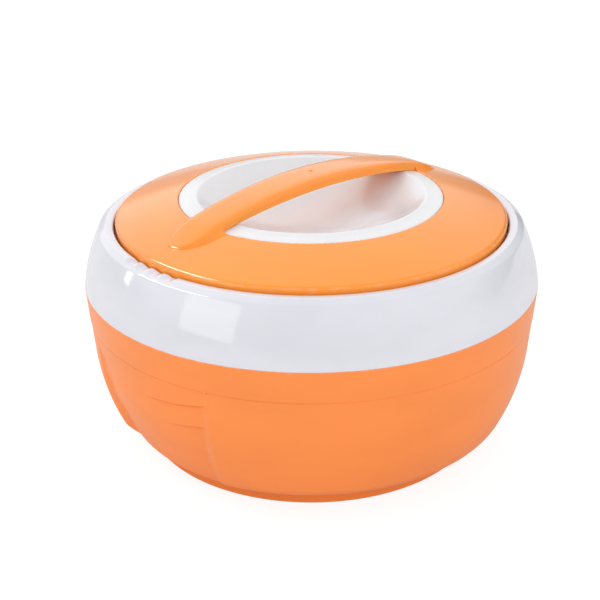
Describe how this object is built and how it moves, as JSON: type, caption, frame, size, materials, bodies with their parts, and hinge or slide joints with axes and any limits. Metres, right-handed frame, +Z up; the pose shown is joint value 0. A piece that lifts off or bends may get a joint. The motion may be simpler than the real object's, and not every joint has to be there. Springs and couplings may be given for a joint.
{
  "type": "thermal serving bowl",
  "caption": "Round insulated serving bowl with finger grips, a white collar and a domed lift-off lid with an arched handle over a finger dish.",
  "frame": {"origin": "centre of the standing ring, on the surface that the bowl stands on", "axes": "+Z up along the bowl's axis; X through the two finger grips, with the handle within half a degree of it"},
  "size_m": [0.274, 0.274, 0.1657],
  "materials": {
    "shell_plastic": "satin",
    "lid_plastic": "gloss",
    "white_plastic": "gloss",
    "steel": "satin",
    "foam": "matte",
    "seal_rubber": "matte"
  },
  "bodies": {
    "body": {"outer_shell": "shell_plastic", "base_plug": "shell_plastic", "collar": "white_plastic", "inner_bowl": "steel", "body_insulation": "foam"},
    "lid": {"lid_cover": "lid_plastic", "lid_dish": "white_plastic", "lid_liner": "white_plastic", "lid_seal": "seal_rubber", "lid_insulation": "foam"}
  },
  "joints": [
    {"name": "lid_lift", "type": "slide", "parent": "body", "child": "lid", "axis": [0, 0, 1], "range_m": [0, 0.08]}
  ]
}
